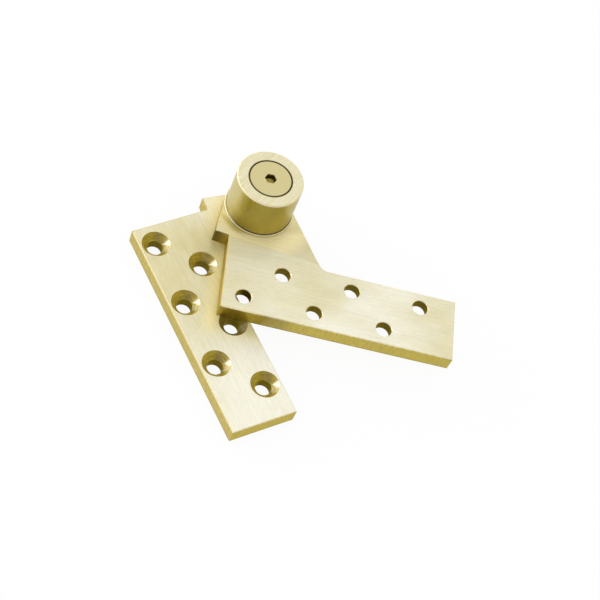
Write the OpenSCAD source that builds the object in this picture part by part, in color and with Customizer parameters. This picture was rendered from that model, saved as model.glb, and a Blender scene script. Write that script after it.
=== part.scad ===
// Offset pivot hinge for a door head: a frame leaf, a door leaf that carries a
// knuckle barrel, and a retractable pivot pin that an adjusting screw winds in and out.
// Millimetres, +Z up. The origin lies on the pivot axis, on the frame leaf's back face.
// The frame leaf's long body runs along +X. The hinge is drawn partly open.

/* [Leaves] */
// Length of each leaf's body, heel end to toe end
leaf_l = 105.2; // [98:0.2:140]
// Width of each leaf's body
leaf_w = 30.8; // [28:0.1:40]
// Thickness of each leaf
leaf_t = 7.94; // [6:0.02:10]
// Gap between the two leaves
leaf_gap = 1.6; // [1:0.1:3]
// Distance from the pivot axis to the near edge of a leaf's body
leaf_offset = 25.5; // [24:0.1:32]
// How far the heel end lies behind the pivot axis
heel_reach = 10.5; // [8:0.1:13]
// Angle by which the heel end leans out of square with the body
heel_lean = 1.4; // [0:0.1:3]
// Width of the bevel that breaks the straight edges of a leaf
edge_break = 0.35; // [0.1:0.05:0.6]
// Width of the bevel round the nose of a leaf's arm
nose_break = 0.4; // [0.1:0.05:0.6]
// Angle between the two leaves as drawn; 0 is a closed door
open_angle = 57; // [0:1:180]

/* [Screw holes] */
// Number of screws in each of a leaf's two rows
row_holes = 3; // [2:1:3]
// Distance from one screw to the next along a row
hole_pitch = 31.75; // [26:0.05:34]
// Distance from each row to its edge of the body
row_inset = 7.5; // [7:0.1:9]
// Distance from the heel end to the first screw of the far row
heel_inset = 9.5; // [8:0.1:14]
// Diameter of a screw hole
hole_d = 7.2; // [6:0.1:8]
// Diameter of a countersink at the face of the leaf
csk_d = 12.9; // [11:0.1:13.5]
// Included angle of a countersink
csk_angle = 82; // [82:1:100]
// Width of the bevel round the plain end of a screw hole
hole_break = 0.25; // [0.1:0.05:0.4]

/* [Arm] */
// Angle between the arm's base line and the leaf's body
arm_tilt = 6; // [0:0.5:8]
// Distance from the pivot axis to the arm's base line
arm_drop = 19.7; // [18:0.1:21]
// Distance along the base line from the pivot axis to the foot of the sloping edge
slope_reach = 33.1; // [28:0.1:40]
// Angle between the base line and the sloping edge
slope_angle = 53.3; // [48:0.1:58]
// Radius of the fillet where the sloping edge runs into the body
root_fillet_r = 4.76; // [2:0.02:8]
// Depth by which the door leaf's arm is relieved behind its base line
arm_relief = 0.25; // [0.1:0.05:0.5]

/* [Knuckle barrel] */
// Outer diameter of the barrel
barrel_d = 30.2; // [29:0.1:34]
// Height of the barrel above the back face of the door leaf
barrel_h = 22.2; // [21:0.1:30]
// Bevel round the open end of the barrel
barrel_bevel = 0.5; // [0.2:0.1:1]
// How far the foot ring stands out from the barrel
foot_step = 0.8; // [0.5:0.1:1.5]
// Height of the foot ring
foot_h = 0.9; // [0.6:0.1:1.5]
// Width of the groove that parts the foot ring from the barrel
groove_w = 0.35; // [0.2:0.05:0.6]
// Diameter of the spigot that holds the barrel in the door leaf
spigot_d = 25; // [24:0.1:26.5]
// Thickness of the web under the adjusting screw's head
web_t = 3.2; // [2.5:0.1:5]

/* [Pivot pin and bushes] */
// Diameter of the pivot pin
pin_d = 15.88; // [14:0.02:16.5]
// Radial running clearance of the pin and of the screw
run_fit = 0.05; // [0.02:0.01:0.1]
// Wall thickness of both bushes
bush_wall = 2; // [1.5:0.1:2.2]
// Diameter of the frame bush's flange, which spaces the leaves apart
flange_d = 27.6; // [25:0.1:30]
// How far the extended pin and the frame bush stay inside the frame leaf's back
back_recess = 0.4; // [0.2:0.1:1]
// Solid length at the pin's nose, below its tapped bore
pin_floor = 3.2; // [2:0.1:3.5]
// Width of the feather key
key_w = 3.2; // [2.5:0.1:4]
// Length of the feather key
key_l = 8; // [6:0.5:9]

/* [Adjusting screw] */
// Diameter of the screw's flush head
head_d = 19; // [17:0.1:21]
// Thickness of the screw's head
head_t = 4.8; // [4:0.1:6]
// Gap round the head
head_gap = 0.33; // [0.2:0.01:0.6]
// Width across flats of the hexagon socket
socket_af = 4.76; // [4:0.02:6]
// Depth of the hexagon socket
socket_depth = 3; // [2:0.1:3.4]
// Diameter of the screw's threaded shank
shank_d = 9.53; // [8:0.01:10]
// Travel of the pin for one turn of the screw
thread_pitch = 1.5875; // [1:0.0125:2]
// Length of thread still engaged when the pin is fully extended
thread_grip = 6.5; // [5:0.1:7]
// Thickness of the circlip that holds the screw under the web
clip_t = 1; // [0.8:0.1:1.2]
// Diameter of the circlip
clip_d = 14; // [13:0.1:14.6]

/* [Hidden] */
$fn = 96;

press_gap = 0.02;      // radial gap drawn at a press fit
face_gap = 0.05;       // gap between faces that turn on each other
pin_play = 0.4;        // room left between the retracted pin and the circlip
lead_in = 0.6;         // chamfer at the mouths of the bushes and on the pin's nose
over = 1;              // how far a cutter runs past the faces it cuts

// Heights above the frame leaf's back face
door_z = leaf_t + leaf_gap;
door_back_z = door_z + leaf_t;
arm_face_z = door_back_z - arm_relief;
barrel_top_z = door_back_z + barrel_h;
pocket_z = barrel_top_z - head_t - face_gap;
web_z = pocket_z - web_t;
clip_z = web_z - face_gap - clip_t;

// Leaf outline, in a leaf's own frame: pivot axis at the origin, body along +X
heel_x = -heel_reach;
toe_x = leaf_l - heel_reach;
near_y = -leaf_offset;
far_y = -leaf_offset - leaf_w;
barrel_r = barrel_d / 2;
nose_r = barrel_r + foot_step;
arm_side = nose_r - 0.05;   // the round nose stands a hair proud of the arm's side

// A point given along and across the arm, turned into the leaf's frame
function from_arm(along, across) =
    [along * cos(arm_tilt) - across * sin(-arm_tilt),
     along * sin(-arm_tilt) + across * cos(arm_tilt)];

arm_corner = from_arm(-arm_side, -arm_drop);
nose_start = from_arm(-arm_side, 0);
slope_foot = from_arm(slope_reach, -arm_drop);
slope_dir = 180 - slope_angle - arm_tilt;
slope_unit = [cos(slope_dir), sin(slope_dir)];

// The heel end leans about its far corner, and meets the arm's base line in the inner corner
heel_far = [heel_x, far_y];
heel_unit = [-sin(heel_lean), cos(heel_lean)];
base_normal = [sin(arm_tilt), cos(arm_tilt)];
heel_run = (-arm_drop - heel_far * base_normal) / (heel_unit * base_normal);
inner_corner = heel_far + heel_run * heel_unit;

// The point where the line of the sloping edge passes closest to the pivot axis
slope_run = -(slope_foot * slope_unit);
slope_near = slope_foot + slope_run * slope_unit;

// The fillet at the foot of the slope: where the slope's line meets the body's edge,
// the fillet's length along each of them, and its centre
root = slope_foot + (near_y - slope_foot.y) / slope_unit.y * slope_unit;
fillet_run = root_fillet_r * tan((180 - slope_dir) / 2);
fillet_toe = root + [fillet_run, 0];
fillet_top = root + fillet_run * slope_unit;
fillet_centre = fillet_toe + [0, root_fillet_r];

// Screw holes, staggered by half a pitch
hole_points = [
    for (i = [0:row_holes - 1]) [heel_x + heel_inset + i * hole_pitch, far_y + row_inset],
    for (i = [0:row_holes - 1]) [heel_x + heel_inset + (i + 0.5) * hole_pitch, near_y - row_inset]
];
csk_depth = (csk_d - hole_d) / 2 / tan(csk_angle / 2);

// Pin and bushes
pin_r = pin_d / 2;
bush_bore_r = pin_r + run_fit;
bush_r = bush_bore_r + bush_wall;
pin_travel = ceil((door_z - back_recess) / thread_pitch) * thread_pitch;
pin_top_z = clip_z - pin_play - pin_travel;
pin_l = pin_top_z - back_recess;
key_z = pin_top_z - key_l - 1;
key_h = bush_wall * 1.5;
key_r = pin_r - bush_wall * 0.75;

// Adjusting screw
shank_r = shank_d / 2;
clip_groove_r = shank_r - 0.9;
screw_tip_z = pin_top_z - thread_grip;
head_top_z = barrel_top_z;

// ---- shared shapes -------------------------------------------------------

// The material inside the line from a to b, which lies on its right; its two rims are bevelled
module edge_slab(a, b, height, bevel) {
    run = b - a;
    reach = 2 * leaf_l;
    translate([a.x, a.y, 0])
        rotate([0, 0, atan2(run.y, run.x)])
            rotate([90, 0, 90])
                translate([0, 0, -reach])
                    linear_extrude(2 * reach)
                        polygon([[0, bevel], [bevel, 0], [reach, 0], [reach, height],
                            [bevel, height], [0, height - bevel]]);
}

// A flat convex piece with corners given anticlockwise. Each side that real[i] marks is
// an outer edge and is bevelled; the others lie inside a neighbouring piece.
module bevelled_plate(corners, real, height) {
    last = len(corners) - 1;
    intersection_for (i = [0:last])
        edge_slab(corners[i], corners[i == last ? 0 : i + 1], height, real[i] ? edge_break : 0);
}

// The body, with bevels round all four sides
module leaf_body() {
    toe_far = [toe_x, far_y];
    toe_near = [toe_x, near_y];
    heel_near = heel_far + (near_y - far_y) / heel_unit.y * heel_unit;
    bevelled_plate([heel_far, toe_far, toe_near, heel_near], [true, true, true, true], leaf_t);
}

// The web that joins the body to the arm. It reaches a little into both.
module leaf_web() {
    foot = inner_corner - (leaf_w / 2) * heel_unit;
    below = slope_foot - (leaf_w / 2) * slope_unit;
    above = slope_foot + over * slope_unit;
    bevelled_plate([foot, below, above, inner_corner + over * heel_unit],
        [false, true, false, true], leaf_t);
}

// The arm and its round nose, whose turned surface starts and ends out on its free side
module leaf_arm(height) {
    bevelled_plate([arm_corner, slope_foot, slope_near, nose_start],
        [true, true, false, true], height);
    rotate([0, 0, 90]) rotate_extrude()
        polygon([[0, 0], [nose_r - nose_break, 0], [nose_r, nose_break],
            [nose_r, height - nose_break], [nose_r - nose_break, height], [0, height]]);
}

// The fillet between the sloping edge and the body's near edge, flared at both rims
module root_fillet() {
    difference() {
        linear_extrude(leaf_t)
            polygon([root - [over, over], fillet_toe - [0, over], fillet_toe, fillet_centre,
                fillet_top, fillet_top - [over, 0]]);
        translate([fillet_centre.x, fillet_centre.y, 0]) rotate_extrude()
            polygon([[0, -over], [root_fillet_r + edge_break + over, -over],
                [root_fillet_r, edge_break], [root_fillet_r, leaf_t - edge_break],
                [root_fillet_r + edge_break + over, leaf_t + over], [0, leaf_t + over]]);
    }
}

// A leaf's plate, with its arm relieved at the top by a given depth
module leaf_plate(relief) {
    leaf_body();
    difference() {
        union() {
            leaf_web();
            root_fillet();
        }
        if (relief > 0)
            rotate([0, 0, -arm_tilt])
                translate([-nose_r, -arm_drop, leaf_t - relief])
                    cube([nose_r + slope_reach, arm_drop, relief + over]);
    }
    leaf_arm(leaf_t - relief);
}

// Screw holes, countersunk at the top face and bevelled at the bottom one
module screw_holes() {
    for (p = hole_points) translate(p) {
        translate([0, 0, -over]) cylinder(h = leaf_t + 2 * over, d = hole_d);
        translate([0, 0, -over])
            cylinder(h = over + hole_break, r1 = hole_d / 2 + hole_break + over, r2 = hole_d / 2);
        translate([0, 0, leaf_t - csk_depth]) cylinder(h = csk_depth, d1 = hole_d, d2 = csk_d);
        translate([0, 0, leaf_t]) cylinder(h = over, d = csk_d);
    }
}

// A turned ring between two radii with chamfered mouths, from z0 to z1
module turned_bush(inner, outer, z0, z1) {
    rotate_extrude() polygon([
        [inner, z0 + lead_in], [inner + lead_in, z0], [outer - lead_in / 2, z0],
        [outer, z0 + lead_in / 2], [outer, z1 - lead_in / 2], [outer - lead_in / 2, z1],
        [inner + lead_in, z1], [inner, z1 - lead_in]
    ]);
}

// ---- frame side ----------------------------------------------------------

module frame_leaf() {
    color("#d9cc96") difference() {
        leaf_plate(0);
        screw_holes();
        translate([0, 0, -over]) cylinder(h = leaf_t + 2 * over, r = bush_r);
    }
}

// Flanged bush: its flange carries the door leaf's arm and spaces the leaves
module frame_bush() {
    color("#b98d4e") {
        turned_bush(bush_bore_r, bush_r - press_gap, back_recess, leaf_t);
        rotate_extrude() polygon([
            [bush_bore_r, leaf_t - 2 * lead_in], [bush_r - press_gap, leaf_t - 2 * lead_in],
            [bush_r - press_gap, leaf_t], [flange_d / 2, leaf_t],
            [flange_d / 2, door_z - face_gap], [bush_bore_r + lead_in, door_z - face_gap],
            [bush_bore_r, door_z - face_gap - lead_in]
        ]);
    }
}

// ---- door side -----------------------------------------------------------

// The door leaf has the frame leaf's outline, with its countersinks underneath
module door_leaf() {
    color("#ddd09c") rotate([0, 0, open_angle]) translate([0, 0, door_z]) difference() {
        leaf_plate(arm_relief);
        translate([0, 0, leaf_t]) mirror([0, 0, 1]) screw_holes();
        translate([0, 0, -over]) cylinder(h = leaf_t + 2 * over, d = spigot_d);
    }
}

// Knuckle barrel, turned in one piece: spigot, foot ring, wall, web and head pocket
module knuckle_barrel() {
    groove_r = barrel_r - 0.5;
    groove_z = arm_face_z + foot_h;
    pocket_r = head_d / 2 + head_gap;
    shank_hole_r = shank_r + run_fit;
    spigot_r = spigot_d / 2 - press_gap;
    color("#cdb96a") rotate_extrude() polygon([
        [bush_r, door_z], [spigot_r, door_z], [spigot_r, arm_face_z],
        [nose_r, arm_face_z], [nose_r, groove_z - 0.3], [nose_r - 0.3, groove_z],
        [groove_r, groove_z], [groove_r, groove_z + groove_w], [barrel_r, groove_z + groove_w],
        [barrel_r, barrel_top_z - barrel_bevel], [barrel_r - barrel_bevel, barrel_top_z],
        [pocket_r, barrel_top_z], [pocket_r, pocket_z],
        [shank_hole_r, pocket_z], [shank_hole_r, web_z], [bush_r, web_z]
    ]);
}

// Long bush that guides the pin, slotted for the feather key
module barrel_bush() {
    color("#b98d4e") rotate([0, 0, open_angle]) difference() {
        turned_bush(bush_bore_r, bush_r - press_gap, door_z, web_z);
        translate([0, -key_w / 2 - run_fit, door_z - over])
            cube([2 * bush_r, key_w + 2 * run_fit, web_z - door_z + 2 * over]);
    }
}

// ---- pin, drawn fully extended -------------------------------------------

// Round-ended bar that both the feather key and its slot are made from
module key_bar(extra, height) {
    translate([key_r, 0, key_z + key_w / 2]) rotate([0, 90, 0]) {
        linear_extrude(height) {
            circle(d = key_w + 2 * extra);
            translate([-(key_l - key_w), 0]) circle(d = key_w + 2 * extra);
            translate([-(key_l - key_w), -key_w / 2 - extra])
                square([key_l - key_w, key_w + 2 * extra]);
        }
    }
}

// Pivot pin: chamfered nose, blind tapped bore, slot for the feather key
module pivot_pin() {
    bore_r = shank_r + run_fit;
    bore_z = back_recess + pin_floor;
    color("#b9bcc0") rotate([0, 0, open_angle]) difference() {
        rotate_extrude() polygon([
            [0, back_recess], [pin_r - lead_in, back_recess], [pin_r, back_recess + lead_in],
            [pin_r, pin_top_z - lead_in], [pin_r - lead_in, pin_top_z],
            [bore_r + lead_in, pin_top_z], [bore_r, pin_top_z - lead_in],
            [bore_r, bore_z], [0, bore_z]
        ]);
        key_bar(press_gap, 2 * bush_wall);
    }
}

module pin_key() {
    color("#8e9196") rotate([0, 0, open_angle]) key_bar(0, key_h);
}

// ---- adjusting screw -----------------------------------------------------

module adjusting_screw() {
    tip = 1;
    socket_r = socket_af / 2 / cos(30);
    head_r = head_d / 2;
    head_z = pocket_z + face_gap;
    groove_z = clip_z - face_gap;
    groove_h = clip_t + 2 * face_gap;
    color("#d2c080") difference() {
        rotate_extrude() polygon([
            [0, screw_tip_z], [shank_r - tip, screw_tip_z], [shank_r, screw_tip_z + tip],
            [shank_r, groove_z], [clip_groove_r, groove_z],
            [clip_groove_r, groove_z + groove_h], [shank_r, groove_z + groove_h],
            [shank_r, head_z], [head_r, head_z], [head_r, head_top_z - 0.2],
            [head_r - 0.2, head_top_z], [0, head_top_z]
        ]);
        translate([0, 0, head_top_z - socket_depth])
            cylinder(h = socket_depth + over, r = socket_r, $fn = 6);
        translate([0, 0, head_top_z - socket_depth - 0.8])
            cylinder(h = 0.81, r1 = 0.2, r2 = socket_af / 2);
    }
}

// Open retaining ring that snaps into the screw's groove under the web
module screw_circlip() {
    color("#9ea2a8") translate([0, 0, clip_z]) difference() {
        cylinder(h = clip_t, d = clip_d);
        translate([0, 0, -over]) {
            cylinder(h = clip_t + 2 * over, r = clip_groove_r + press_gap);
            translate([0, -clip_groove_r * 0.8, 0])
                cube([clip_d, clip_groove_r * 1.6, clip_t + 2 * over]);
        }
    }
}

frame_leaf();
frame_bush();
door_leaf();
knuckle_barrel();
barrel_bush();
pivot_pin();
pin_key();
adjusting_screw();
screw_circlip();
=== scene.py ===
"""Finishes of the offset pivot hinge, and the floor, light and camera round it."""

from math import cos, radians, sin

import bpy
from mathutils import Matrix, Vector


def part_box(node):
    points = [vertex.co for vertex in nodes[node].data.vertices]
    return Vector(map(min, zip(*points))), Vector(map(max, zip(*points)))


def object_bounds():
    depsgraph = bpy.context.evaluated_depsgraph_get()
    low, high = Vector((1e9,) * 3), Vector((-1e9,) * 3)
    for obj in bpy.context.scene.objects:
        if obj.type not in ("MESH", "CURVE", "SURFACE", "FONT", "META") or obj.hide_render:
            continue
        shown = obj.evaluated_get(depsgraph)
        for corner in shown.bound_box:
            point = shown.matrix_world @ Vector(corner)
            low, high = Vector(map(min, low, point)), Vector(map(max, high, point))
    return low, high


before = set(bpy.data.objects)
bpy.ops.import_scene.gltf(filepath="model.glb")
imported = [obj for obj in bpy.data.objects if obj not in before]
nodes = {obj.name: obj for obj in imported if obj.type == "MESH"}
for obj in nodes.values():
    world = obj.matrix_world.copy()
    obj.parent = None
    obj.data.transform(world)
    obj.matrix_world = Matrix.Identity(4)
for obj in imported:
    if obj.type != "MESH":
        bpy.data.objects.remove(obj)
cad_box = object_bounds()


# ---- shader sums ----------------------------------------------------------


class Field:
    """A socket that varies over a surface. Sums on it add Math nodes."""

    def __init__(self, finish, socket):
        self.finish = finish
        self.socket = socket

    def __add__(self, other):
        return self.finish.maths("ADD", self, other)

    def __radd__(self, other):
        return self.finish.maths("ADD", other, self)

    def __sub__(self, other):
        return self.finish.maths("SUBTRACT", self, other)

    def __rsub__(self, other):
        return self.finish.maths("SUBTRACT", other, self)

    def __mul__(self, other):
        return self.finish.maths("MULTIPLY", self, other)

    def __rmul__(self, other):
        return self.finish.maths("MULTIPLY", other, self)

    def __abs__(self):
        return self.finish.maths("ABSOLUTE", self)


class Finish:
    """The nodes of one material, and the colour that has been built up so far."""

    def __init__(self, name, owner=None):
        self.material = owner or bpy.data.materials.new(name)
        self.material.use_nodes = True
        self.tree = self.material.node_tree
        self.tree.nodes.clear()
        self.colour = None

    def add(self, kind, settings=None, sockets=None):
        """A node: its settings are made first, then its sockets are filled or linked."""
        node = self.tree.nodes.new("ShaderNode" + kind)
        for name, value in (settings or {}).items():
            setattr(node, name, value)
        for name, value in (sockets or {}).items():
            if isinstance(value, Field):
                self.tree.links.new(value.socket, node.inputs[name])
            elif isinstance(value, bpy.types.NodeSocket):
                self.tree.links.new(value, node.inputs[name])
            else:
                node.inputs[name].default_value = value
        return node

    def maths(self, operation, *values):
        node = self.add("Math", {"operation": operation}, dict(enumerate(values)))
        return Field(self, node.outputs[0])

    def larger(self, one, other):
        return self.maths("MAXIMUM", one, other)

    # Where a point lies, and which way its face looks

    def place(self):
        return self.add("TexCoord").outputs["Object"]

    def parts(self, vector):
        split = self.add("SeparateXYZ", None, {"Vector": vector})
        return [Field(self, socket) for socket in split.outputs]

    def turned(self, vector, angle):
        """A place in axes that are turned by this angle about the pivot."""
        sockets = {"Vector": vector, "Angle": -angle}
        node = self.add("VectorRotate", {"rotation_type": "Z_AXIS"}, sockets)
        return node.outputs[0]

    def plan_length(self, aside, ahead):
        return self.maths("SQRT", aside * aside + ahead * ahead)

    def out_towards(self, angle):
        """How far a point lies from the pivot axis, measured this way in plan."""
        return self.parts(self.turned(self.place(), angle))[0]

    def facing(self):
        """How far a face looks up or down: 1 on level faces, 0 on upright ones."""
        return abs(self.parts(self.add("TexCoord").outputs["Normal"])[2])

    def faces_to(self, angle):
        """How far a face looks this way in plan: 1 straight at it, -1 away from it."""
        ways = self.turned(self.add("TexCoord").outputs["Normal"], angle)
        return self.parts(ways)[0]

    def on_side(self, angle, low, high):
        """1 on faces that look this way in plan, 0 on others, and a smooth step between."""
        return self.rise(self.faces_to(angle), low, high)

    # Patterns and steps

    def pattern(self, vector, fineness, detail, roughness=0.5):
        """Soft noise about 0, mostly within a quarter each way, as fine as given on each axis."""
        stretch = {0: vector, 1: fineness}
        stretched = self.add("VectorMath", {"operation": "MULTIPLY"}, stretch).outputs[0]
        sockets = {"Vector": stretched, "Scale": 1.0, "Detail": detail, "Roughness": roughness}
        return Field(self, self.add("TexNoise", None, sockets).outputs[0]) - 0.5

    def rise(self, value, low, high):
        """0 below low, 1 above high, and a smooth step between."""
        sockets = {"Value": value, "From Min": low, "From Max": high}
        node = self.add("MapRange", {"interpolation_type": "SMOOTHSTEP"}, sockets)
        return Field(self, node.outputs[0])

    def fall(self, value, low, high):
        """1 below low, 0 above high, and a smooth step between."""
        return 1 - self.rise(value, low, high)

    def between(self, value, rising, falling):
        """1 between two smooth steps, each given by its low and high ends."""
        return self.rise(value, *rising) * self.fall(value, *falling)

    # Colour and surface

    def blend(self, share, first, second, how="MIX"):
        """The second colour over the first. 6 and 7 are a Mix node's colours, and 2 its result."""
        settings = {"data_type": "RGBA", "blend_type": how, "clamp_factor": True}
        node = self.add("Mix", settings, {0: share, 6: first, 7: second})
        return node.outputs[2]

    def tint(self, share, colour):
        """Lays this share of a colour over what is there."""
        self.colour = self.blend(share, self.colour, colour)

    def shade(self, amount):
        """Makes the colour lighter or darker by a value round 1."""
        self.colour = self.blend(1.0, self.colour, amount, "MULTIPLY")

    def bump(self, height, distance, strength):
        sockets = {"Height": height, "Distance": distance, "Strength": strength}
        return self.add("Bump", None, sockets).outputs[0]

    def metal(self, roughness, normal=None, metallic=1.0, lacquer=None, coat=None):
        """The material, with its colour shown as metal. Lacquer is how much clear coat it has."""
        sockets = {"Base Color": self.colour, "Roughness": roughness, "Metallic": metallic}
        if normal is not None:
            sockets["Normal"] = normal
        if lacquer is not None:
            sockets.update({"Specular Tint": EDGE_ON, "Coat Weight": lacquer})
            sockets.update(coat or OLD_LACQUER)
        surface = self.add("BsdfPrincipled", None, sockets)
        self.show(surface.outputs[0])
        return self.material

    def show(self, surface):
        self.add("OutputMaterial", None, {"Surface": surface})


def tone(code):
    """A colour written as six hexadecimal digits, in the renderer's linear values."""
    channels = [int(code[i : i + 2], 16) / 255 for i in (0, 2, 4)]
    linear = [c / 12.92 if c <= 0.04045 else ((c + 0.055) / 1.055) ** 2.4 for c in channels]
    return (*linear, 1.0)


# ---- tones, coats and patterns --------------------------------------------

PALE = tone("f7f4e2")  # broad faces at their palest
GOLDEN = tone("dacf96")  # broad faces at their most golden, and the barrel's painted highlight
MILLED = tone("bfac4b")  # sawn and milled edges
TURNED = tone("bdae4c")  # turned sides
BORED = tone("b8a23a")  # countersinks
BORE_MATT_AND_SHADE = tone("61531f")  # drilled bores: matt brass, darkened further by painted shade in the bore
WORN_AND_SHEEN = tone("f0e5bb")  # pale edge breaks, worn and partly a painted highlight; also painted highlights on countersinks, front sides and the barrel's bevels
PAINTED_GLOW = tone("fff1b0")  # painted light round the pivot and beside the other leaf's heel, which offsets the shade there
ARM_LIGHT = tone("fff2bc")  # painted light on the arm beside the barrel, which offsets the barrel's shade
GRIME_AND_SHADE = tone("3e320b")  # painted shade in gaps, corners and recesses and on shaded sides, and the dark joint at the barrel's foot
MATT = tone("ddd29e")  # the adjusting screw's head
BRONZE = tone("b08a4c")  # bearing bronze
EDGE_ON = tone("efe3b0")  # brass seen at a low angle

OLD_LACQUER = {"Coat Roughness": 0.16, "Coat IOR": 1.75}
POLISH = {"Coat Roughness": 0.12, "Coat IOR": 2.6}

# Each pattern: how fine it is along X, Y and Z, its detail, and its roughness where it isn't 0.5
BRUSH_STROKES = ((45, 2100, 2100), 3.0, 0.6)
HAIR_LINES = ((160, 5200, 5200), 2.0)
LEAF_FLECKS = ((450, 1100, 1100), 2.0, 0.6)
LEAF_CLOUDS = ((40, 70, 70), 3.0)
SAW_MARKS = ((1300, 1300, 260), 3.0, 0.6)
CUTTER_RINGS = ((420, 420, 1500), 3.0, 0.7)
BARREL_RINGS = ((70, 70, 3600), 2.0)
BARREL_STREAKS = ((200, 200, 26), 2.0)
BARREL_FLECKS = ((600, 600, 420), 2.0)
END_STROKES = ((60, 2400, 60), 3.0, 0.6)
SCREW_MOTTLE = ((900, 900, 900), 3.0)
BUSH_RINGS = ((60, 60, 4200), 2.0)
BUSH_MOTTLE = ((240, 240, 240), 3.0)
STEEL_RINGS = ((80, 80, 5200), 2.0)
STEEL_MOTTLE = ((300, 300, 300), 3.0)

TOOL_RELIEF = 0.00002  # depth of brushing and turning marks, in metres
GROUND_RELIEF = 0.00001  # depth of grinding marks

# How far a face looks up or down, as the two ends of a smooth step
LEVEL_FACE = (0.93, 0.99)
CONE_FACE = (0.2, 0.4)  # below this, a face in a hole is the bore's wall
BREAK_FACE = ((0.68, 0.69), (0.72, 0.74))  # the 45 degree edge breaks
BEVEL_FACE = ((0.35, 0.55), (0.8, 0.92))  # the barrel's bevels
FLAT_FACE = (0.8, 0.95)  # the screw's flat faces

# Ways in plan, with the two ends of a smooth step where they mark a side
FRONT = (radians(-90), 0.9, 1.0)  # the frame leaf's long side that is away from the pivot
POLISHED_SIDE = (radians(-107), -0.15, 0.25)  # the shiny side of a countersink
SHEEN_SIDE = (radians(-125), 0.66, 0.74)  # its side with a painted highlight
SHADOWED_SIDE = (radians(-42), 0.62, 0.74)  # its side with painted shade
LOW_SHADE_SIDE = (radians(-62), 0.8, 1.0)  # the barrel's side with painted shade near its foot
BARREL_SHADOW_WAY = radians(-66)  # where the arm in front of the barrel has the barrel's painted shadow and reflection, and its foot ring is kept darker
BARREL_SHADOW_SIDE = (BARREL_SHADOW_WAY, 0.5, 0.85)
ARM_LIGHT_WAY = radians(-16)  # where the arm beside the barrel has painted light against the barrel's shade
SHEEN_WAY = radians(-120)  # where the barrel's side has a painted highlight
END_BRUSHING = radians(118)  # across the brushing of the barrel's end face


# ---- leaves ---------------------------------------------------------------

LEAF_ANGLE = radians(57)  # the door leaf's body against the frame leaf's, at rest

# Places in a leaf's own frame, in metres: the pivot is at 0, 0 and the body lies along +X
PIVOT = (0.0, 0.0)
HOLE_PITCH = 0.03175
HOLE_ROWS = ((-0.0010, -0.0488), (0.014875, -0.0330))  # first screw of each row
HOLES_IN_ROW = 3
COVERED_HOLE = (HOLE_ROWS[1][0] + HOLE_PITCH, HOLE_ROWS[1][1])  # it lies under the door leaf
INNER_CORNER = (-0.0114, -0.0185)  # between the body's heel and the arm
HEEL = -0.0105

# Stretches of a leaf, in metres, as the two ends of a smooth step
CSK_EDGE = (0.0066, 0.0068)  # out from a hole's axis
PIVOT_SURROUND = (0.0165, 0.026)  # out from the pivot axis
CORNER_REACH = (0.005, 0.009)  # out from the inner corner
HEEL_BREAK = (-0.0101, -0.0094)  # along the body
ROOT_ALONG = (-0.005, 0.015)
ROOT_ACROSS = (-0.012, 0.0)
ARM_BASE = (-0.0188, -0.0180)  # across the body
FRONT_EDGE = (-0.0560, -0.0555)
FRONT_SHADE_STRETCH = ((0.004, 0.010), (0.016, 0.026))  # along the front side
BESIDE_HEEL = (-0.008, -0.001)  # along the other leaf, from its heel
OTHER_LEAF_END = (-0.07, -0.058)  # across the other leaf, where the painted light beside its heel ends
BARREL_SHADOW_START = (0.014, 0.0166)  # out from the pivot axis, the way of the barrel's painted shadow
BARREL_SHADOW_END = (0.0165, 0.0195)
ARM_LIGHT_START = (0.0115, 0.016)  # out from the pivot axis, the way of the painted light on the arm
ARM_LIGHT_END = (0.021, 0.03)
UPPER_SIDE = (0.006, 0.0078)  # over the leaf's lower face
LOWER_RIM = (0.0004, 0.0012)  # over the leaf's lower face

ARM_RELIEF = 0.00024  # the arm's face lies just deeper than this below the door leaf's
RELIEF_STEP = 0.0001


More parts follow.
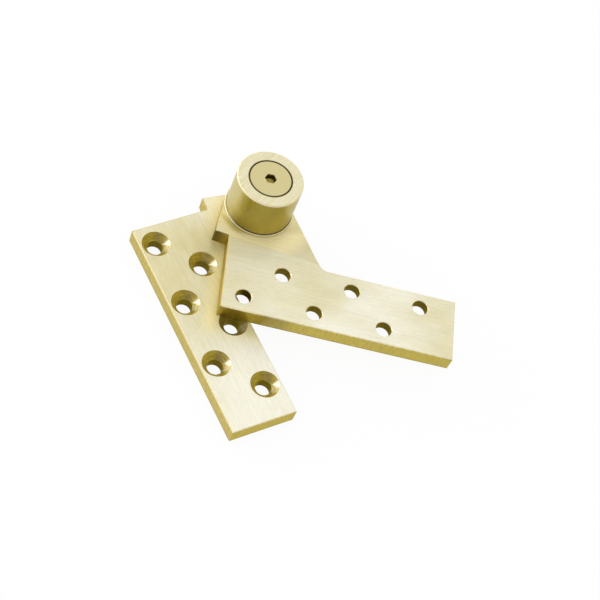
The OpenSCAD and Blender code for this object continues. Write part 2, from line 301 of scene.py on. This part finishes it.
class LeafBrass(Finish):
    """A leaf's brass: brushed along its body, milled round its edges, drilled and countersunk."""

    def __init__(self, name, turn):
        """Its places, and its masks, which are 1 on the faces that they name."""
        super().__init__(name)
        self.spot = self.turned(self.place(), turn)
        self.along, self.across, self.height = self.parts(self.spot)
        level = self.facing()
        self.broad = self.rise(level, *LEVEL_FACE)
        self.breaks = self.between(level, *BREAK_FACE)
        self.in_hole = self.fall(self.near_screw(), *CSK_EDGE) * (1 - self.broad)
        self.bore = self.in_hole * self.fall(level, *CONE_FACE)
        self.cone = self.in_hole - self.bore
        self.polish = self.cone * self.on_side(*POLISHED_SIDE)

    def apart(self, point):
        """Distance in plan from a point."""
        return self.plan_length(self.along - point[0], self.across - point[1])

    def near_screw(self):
        """Distance from the axis of the nearest screw hole."""
        holes = [
            (first + i * HOLE_PITCH, row) for first, row in HOLE_ROWS for i in range(HOLES_IN_ROW)
        ]
        near = self.apart(holes[0])
        for hole in holes[1:]:
            near = self.maths("MINIMUM", near, self.apart(hole))
        return near

    def brush(self, paleness, other_heel=None):
        """Broad faces: golden to pale as given, with painted light round the pivot and beside the
        other leaf's heel, which offsets the shade there.
        """
        clouds = self.pattern(self.spot, *LEAF_CLOUDS)
        self.colour = self.blend(paleness(self) + clouds * 1.1, GOLDEN, PALE)
        # Painted light round the pivot and beside the other leaf's heel, against the shade there.
        glow = self.fall(self.apart(PIVOT), *PIVOT_SURROUND)
        if other_heel is not None:
            aside, ahead, _ = self.parts(self.turned(self.spot, LEAF_ANGLE))
            beside = self.rise(aside, other_heel + BESIDE_HEEL[0], other_heel + BESIDE_HEEL[1])
            beside = beside * self.rise(ahead, *OTHER_LEAF_END)
            glow = self.larger(glow, beside)
        self.tint(glow * 0.7, PAINTED_GLOW)

    def machine(self):
        """Milled edges, bores darkened by painted shade, countersinks with painted shade on one
        side and a painted highlight on another, and pale edge breaks, partly a painted highlight.
        """
        self.colour = self.blend(self.broad, MILLED, self.colour)
        self.tint(self.in_hole, BORED)
        # Bores: matt brass, darkened further by painted shade.
        self.tint(self.bore, BORE_MATT_AND_SHADE)
        heel = self.fall(self.along, *HEEL_BREAK)
        # Pale edge breaks: worn brass, partly a painted highlight.
        self.tint(self.breaks * (1 - heel * 0.75), WORN_AND_SHEEN)
        # Painted shade on one side of each countersink.
        self.tint(self.cone * self.on_side(*SHADOWED_SIDE) * 0.15, GRIME_AND_SHADE)
        # Painted highlight on another side of each countersink.
        self.tint(self.cone * self.on_side(*SHEEN_SIDE) * 0.5, WORN_AND_SHEEN)

    def shade_hole(self, hole):
        """Painted shade darkens this hole and hides its polish."""
        hole_shade = self.fall(self.apart(hole), *CSK_EDGE)
        self.tint(hole_shade * self.in_hole * 0.45, GRIME_AND_SHADE)
        self.polish = self.polish * (1 - hole_shade)

    def mark_arm(self, arm_face):
        """The arm: a darker tone on its face, the barrel's painted shadow and reflection on one
        side of the barrel, painted light on another, and painted shade in its inner corner and
        along the front side near the heel.
        """
        lowered = self.broad * self.fall(self.height, arm_face, arm_face + RELIEF_STEP)
        root = self.rise(self.along, *ROOT_ALONG) * self.fall(self.across, *ROOT_ACROSS)
        self.tint(lowered * (0.04 + root * 0.22), MILLED)
        from_pivot = self.apart(PIVOT)
        # Painted shadow and reflection of the barrel on the arm's face.
        barrel_shadow = self.rise(self.out_towards(BARREL_SHADOW_WAY), *BARREL_SHADOW_START)
        barrel_shadow = barrel_shadow * self.fall(from_pivot, *BARREL_SHADOW_END)
        self.tint(lowered * barrel_shadow * 0.75, MILLED)
        # Painted light on the arm beside the barrel, where the barrel shades it.
        arm_light = self.rise(self.out_towards(ARM_LIGHT_WAY), *ARM_LIGHT_START)
        arm_light = arm_light * self.fall(from_pivot, *ARM_LIGHT_END)
        self.tint(lowered * arm_light, ARM_LIGHT)
        # Painted shade in the inner corner.
        corner = self.fall(self.apart(INNER_CORNER), *CORNER_REACH)
        corner_shade = corner * (1 - self.broad) * self.rise(self.across, *ARM_BASE)
        self.tint(corner_shade * 0.75, GRIME_AND_SHADE)
        # Painted shade along the front side near the heel.
        front_shade = (1 - self.broad) * self.fall(self.across, *FRONT_EDGE)
        front_shade = front_shade * self.between(self.along, *FRONT_SHADE_STRETCH)
        self.tint(front_shade * 0.3, GRIME_AND_SHADE)

    def paint_side_light_and_shade(self, base):
        """Sides that look to the front have painted light, most at the top. Each has painted shade
        along its foot.
        """
        # Painted light on sides that look to the front.
        front_light = self.on_side(*FRONT) * (1 - self.in_hole)
        upper = self.rise(self.height, base + UPPER_SIDE[0], base + UPPER_SIDE[1])
        self.tint(front_light * (0.22 + upper * 0.3), WORN_AND_SHEEN)
        # Painted shade along the foot of each side.
        foot_shade = self.fall(self.height, base + LOWER_RIM[0], base + LOWER_RIM[1])
        self.tint(foot_shade * (1 - self.broad) * 0.4, GRIME_AND_SHADE)

    def surface(self):
        """The material, with the marks of the brush, the saw and the cutter on it."""
        strokes = self.pattern(self.spot, *BRUSH_STROKES)
        hairs = self.pattern(self.spot, *HAIR_LINES)
        flecks = self.pattern(self.spot, *LEAF_FLECKS)
        saw = self.pattern(self.spot, *SAW_MARKS)
        rings = self.pattern(self.spot, *CUTTER_RINGS)
        edges = 1 - self.larger(self.broad, self.in_hole)
        grain = self.broad * (strokes * 0.26 + hairs * 0.2 + flecks * 0.14) + edges * saw * 0.7
        self.shade(1 + grain + self.in_hole * rings * 1.7)
        roughness = 0.34 + self.broad * 0.28 + self.breaks * 0.45 + self.cone * 0.2
        roughness = roughness + self.broad * strokes * 0.2 + self.in_hole * rings * 0.12
        marks = self.broad * (strokes + hairs * 0.5) + edges * saw
        relief = self.bump(marks, TOOL_RELIEF, 0.6)
        metallic = 1 - self.broad * 0.45 - self.larger(self.breaks * 0.55, self.cone * 0.7)
        lacquer = (1 - self.larger(self.in_hole, self.breaks)) * 0.16 + self.polish * 0.82
        return self.metal(roughness, relief, metallic, lacquer, POLISH)


def paler_to_the_toe(leaf):
    """Pale at the heel and more so on the arm, which is painted light against the door leaf's
    shade, then golden, and palest at the toe.
    """
    on_arm = leaf.rise(leaf.across, -0.034, -0.024)
    at_heel = leaf.fall(leaf.along, -0.012, 0.006)
    to_toe = leaf.rise(leaf.along, 0.003, 0.09)
    return 0.05 + (0.35 + 0.4 * on_arm) * at_heel + 1.02 * to_toe


def paler_in_the_middle(leaf):
    """Paler past a slanting line across the body, and golden again towards the toe."""
    slant = leaf.along - (leaf.across + 0.045) * 0.9
    past_slant = leaf.rise(slant, 0.028, 0.046)
    to_toe = leaf.rise(leaf.along, 0.066, 0.094)
    return 0.5 + 0.38 * past_slant - 0.4 * to_toe


def frame_leaf_brass(name):
    leaf = LeafBrass(name, 0)
    leaf.brush(paler_to_the_toe, HEEL)
    leaf.machine()
    leaf.shade_hole(COVERED_HOLE)
    leaf.paint_side_light_and_shade(0)
    return leaf.surface()


def door_leaf_brass(name, base, top):
    leaf = LeafBrass(name, LEAF_ANGLE)
    leaf.brush(paler_in_the_middle)
    leaf.machine()
    leaf.mark_arm(top - ARM_RELIEF)
    leaf.paint_side_light_and_shade(base)
    return leaf.surface()


# ---- barrel, screw and inner pieces ---------------------------------------

# Distances from the pivot axis, in metres, as the two ends of a smooth step
BARREL_SIDE = (0.0152, 0.0155)
BARREL_MOUTH = (0.0099, 0.0103)
SHEEN_REACH = (0.0089, 0.0128)
SCREW_RIM = (0.0091, 0.0094)
SOCKET_WALL = (0.003, 0.0034)

# Heights over the barrel's foot, in metres, as the two ends of a smooth step
SEAM = ((0.0005, 0.0006), (0.001, 0.0011))
FOOT_RING = (0.0009, 0.001)
LOW_SHADE_STRETCH = (0.002, 0.011)

SOCKET_DARK_DEPTH = (-0.0012, -0.0003)  # from the screw's top


def barrel_brass(name, foot):
    """Turned barrel: fine rings round its side, and a brushed end face. Its seam is a dark joint
    with painted shade, its mouth has painted shade, one side a painted highlight and another
    painted shade near its foot.
    """
    finish = Finish(name)
    spot = finish.place()
    across, ahead, height = finish.parts(spot)
    over_foot = height - foot
    out = finish.plan_length(across, ahead)
    level = finish.facing()
    end = finish.rise(level, *LEVEL_FACE)
    slanted = finish.between(level, *BEVEL_FACE)
    rings = finish.pattern(spot, *BARREL_RINGS)
    streaks = finish.pattern(spot, *BARREL_STREAKS)
    flecks = finish.pattern(spot, *BARREL_FLECKS)
    strokes = finish.pattern(finish.turned(spot, END_BRUSHING), *END_STROKES)

    # Painted highlight: the barrel's side is paler this way.
    sheen = finish.rise(finish.out_towards(SHEEN_WAY), *SHEEN_REACH)
    side = finish.blend(sheen * 0.85, TURNED, GOLDEN)
    # Painted shade low on one side of the barrel.
    low_shade = finish.on_side(*LOW_SHADE_SIDE) * finish.fall(over_foot, *LOW_SHADE_STRETCH)
    side = finish.blend(low_shade * 0.3, side, GRIME_AND_SHADE)
    finish.colour = finish.blend(end, side, finish.blend(0.45 + strokes, GOLDEN, PALE))
    # The foot ring's bevel is kept darker on the side of the barrel's painted shadow.
    barrel_shadow = finish.on_side(*BARREL_SHADOW_SIDE) * finish.fall(over_foot, *FOOT_RING)
    finish.tint(slanted * (1 - barrel_shadow * 0.65), WORN_AND_SHEEN)
    # The dark joint at the barrel's foot, with painted shade that is lighter on the highlighted
    # side, and painted shade in the gap at the barrel's mouth.
    seam = finish.between(over_foot, *SEAM) * finish.fall(out, *BARREL_SIDE)
    mouth = finish.fall(out, *BARREL_MOUTH)
    dark_joint_and_shade = finish.larger(seam * 0.9 * (1 - sheen * 0.8), mouth * 0.82)
    finish.tint(dark_joint_and_shade, GRIME_AND_SHADE)
    wear = rings * 0.14 + streaks * 0.34 + flecks * 0.2
    finish.shade(1 + end * (strokes * 0.12 + flecks * 0.12) + (1 - end) * wear)

    roughness = 0.42 + rings * 0.1 + end * 0.22 + slanted * 0.3 + dark_joint_and_shade * 0.3
    relief = finish.bump(rings * (1 - end) + strokes * end, TOOL_RELIEF, 0.5)
    metallic = (1 - end * 0.45 - slanted * 0.5) * (1 - dark_joint_and_shade * 0.25)
    lacquer = (1 - end * 0.85) * (1 - dark_joint_and_shade) * 0.5
    return finish.metal(roughness, relief, metallic, lacquer)


def screw_brass(name, top):
    """Adjusting screw: a flat matt head, with painted shade in the gap round its rim, and darker
    down its socket's walls.
    """
    finish = Finish(name)
    spot = finish.place()
    across, ahead, height = finish.parts(spot)
    out = finish.plan_length(across, ahead)
    mottle = finish.pattern(spot, *SCREW_MOTTLE)
    rim = finish.rise(out, *SCREW_RIM)
    socket = finish.fall(height - top, *SOCKET_DARK_DEPTH) * finish.fall(out, *SOCKET_WALL)
    flat = finish.rise(finish.facing(), *FLAT_FACE)
    finish.colour = MATT
    finish.shade(1 + mottle * 0.12)
    # Painted shade in the gap round the head; the socket's walls are darker and its floor golden.
    finish.tint(rim * 0.8, GRIME_AND_SHADE)
    finish.tint(socket * (1 - flat) * 0.85, GRIME_AND_SHADE)
    finish.tint(socket * flat * 0.9, MILLED)
    roughness = 0.55 + mottle * 0.1 + rim * 0.3
    return finish.metal(roughness, metallic=1 - rim * 0.3, lacquer=0.0)


def bronze(name):
    finish = Finish(name)
    spot = finish.place()
    rings = finish.pattern(spot, *BUSH_RINGS)
    mottle = finish.pattern(spot, *BUSH_MOTTLE)
    finish.colour = BRONZE
    finish.shade(1 + rings * 0.12 + mottle * 0.25)
    return finish.metal(0.42 + mottle * 0.15, finish.bump(rings, TOOL_RELIEF, 0.5))


def steel(name, colour, roughness):
    finish = Finish(name)
    spot = finish.place()
    rings = finish.pattern(spot, *STEEL_RINGS)
    mottle = finish.pattern(spot, *STEEL_MOTTLE)
    finish.colour = colour
    finish.shade(1 + rings * 0.08 + mottle * 0.15)
    return finish.metal(roughness + rings * 0.08, finish.bump(rings, GROUND_RELIEF, 0.5))


def dress(node, material):
    for slot in nodes[node].material_slots:
        slot.material = material


door_low, door_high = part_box("door_leaf")
_, barrel_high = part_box("knuckle_barrel")
dress("frame_leaf", frame_leaf_brass("brushed brass frame leaf"))
dress("door_leaf", door_leaf_brass("brushed brass door leaf", door_low.z, door_high.z))
dress("knuckle_barrel", barrel_brass("turned brass barrel", door_high.z))
dress("adjusting_screw", screw_brass("matt brass screw", barrel_high.z))
dress("frame_bush", bronze("bearing bronze frame bush"))
dress("barrel_bush", bronze("bearing bronze barrel bush"))
dress("pivot_pin", steel("ground steel pin", tone("c3c6ca"), 0.22))
dress("pin_key", steel("drawn steel key", tone("9a9da2"), 0.35))
dress("screw_circlip", steel("spring steel circlip", tone("6f7277"), 0.4))


# ---- floor, light and camera ----------------------------------------------

WHITE = (1, 1, 1, 1)
PALE_GREY = (0.9, 0.9, 0.9, 1)
FLOOR_WHITENESS = 0.93  # the rest of the floor that is seen is lit, and holds the shadow
FLOOR_HALF = 3.0
SCREEN_STEPS = 24


def mesh_object(name, corners, faces, material):
    mesh = bpy.data.meshes.new(name)
    mesh.from_pydata(corners, [], faces)
    mesh.materials.append(material)
    thing = bpy.data.objects.new(name, mesh)
    bpy.context.scene.collection.objects.link(thing)
    return thing


def seen_share(finish):
    """1 for rays that show the background: straight, mirrored or refracted ones."""
    path = finish.add("LightPath").outputs
    shown = finish.larger(path["Is Camera Ray"], path["Is Glossy Ray"])
    return finish.larger(shown, path["Is Transmission Ray"])


def floor(level, half):
    """A pale floor that shows white and keeps a soft shadow."""
    finish = Finish("pale floor")
    lit = finish.add("BsdfDiffuse", None, {"Color": PALE_GREY})
    white = finish.add("Emission", None, {"Color": WHITE, "Strength": 1.0})
    share = seen_share(finish) * FLOOR_WHITENESS
    mixed = finish.add("MixShader", None, {0: share, 1: lit.outputs[0], 2: white.outputs[0]})
    finish.show(mixed.outputs[0])
    signs = ((-1, -1), (1, -1), (1, 1), (-1, 1))
    corners = [(x * half, y * half, level) for x, y in signs]
    return mesh_object("floor", corners, [(0, 1, 2, 3)], finish.material)


def grey_screen(centre, radius, height, start, end, value):
    """A curved grey screen on the camera's side, which gives the brass something to mirror."""
    finish = Finish("grey screen")
    finish.show(finish.add("Emission", None, {"Color": (value, value, value, 1)}).outputs[0])
    corners = []
    for i in range(SCREEN_STEPS + 1):
        angle = start + (end - start) * i / SCREEN_STEPS
        foot = Vector((radius * cos(angle), radius * sin(angle), 0)) + centre
        corners += [foot, foot + Vector((0, 0, height))]
    faces = [(2 * i, 2 * i + 2, 2 * i + 3, 2 * i + 1) for i in range(SCREEN_STEPS)]
    screen = mesh_object("grey_screen", corners, faces, finish.material)
    screen.visible_camera = False
    screen.visible_shadow = False
    screen.visible_diffuse = False
    return screen


def lamp(name, aim, azimuth, elevation, distance, width, height, power):
    """A soft lamp that looks at a point."""
    level = cos(elevation)
    way = Vector((level * cos(azimuth), level * sin(azimuth), sin(elevation)))
    light = bpy.data.lights.new(name, "AREA")
    light.shape = "RECTANGLE"
    light.size = width
    light.size_y = height
    light.energy = power
    thing = bpy.data.objects.new(name, light)
    look = way.to_track_quat("Z", "Y").to_matrix().to_4x4()
    thing.matrix_world = Matrix.Translation(aim + way * distance) @ look
    thing.visible_camera = False
    bpy.context.scene.collection.objects.link(thing)


def studio_world():
    """A plain white world, which lights the hinge evenly."""
    world = bpy.data.worlds.new("studio")
    bpy.context.scene.world = world
    finish = Finish("studio", world)
    white = finish.add("Background", None, {"Color": WHITE, "Strength": 1.0})
    finish.add("OutputWorld", None, {"Surface": white.outputs[0]})


def camera():
    """The camera looks down at the hinge and leans to its left."""
    stand = Vector((0.29671, -0.29000, 0.54160))
    aim = Vector((0.04371, -0.00316, 0.01200))
    lean = radians(26.057)
    lens = bpy.data.cameras.new("camera")
    lens.sensor_width = 36
    lens.lens = 89.078
    lens.shift_x = 0.0130
    lens.shift_y = -0.0086
    thing = bpy.data.objects.new("camera", lens)
    look = (aim - stand).to_track_quat("-Z", "Y").to_matrix().to_4x4()
    thing.matrix_world = Matrix.Translation(stand) @ look @ Matrix.Rotation(lean, 4, "Z")
    bpy.context.scene.collection.objects.link(thing)
    bpy.context.scene.camera = thing


low, high = cad_box
middle = (Vector(low) + Vector(high)) / 2
floor(low[2], FLOOR_HALF)
grey_screen(
    centre=Vector((middle.x, middle.y, 0)),
    radius=1.0,
    height=1.6,
    start=radians(-103),
    end=radians(62),
    value=0.15,
)
lamp(
    "left lamp",
    middle,
    azimuth=radians(217.5),
    elevation=radians(14),
    distance=1.1,
    width=1.15,
    height=0.4,
    power=5.1,
)
lamp(
    "high lamp",
    middle,
    azimuth=radians(-30),
    elevation=radians(82),
    distance=1.2,
    width=0.5,
    height=0.5,
    power=0.3,
)
studio_world()
camera()
bpy.context.scene.view_settings.view_transform = "Standard"
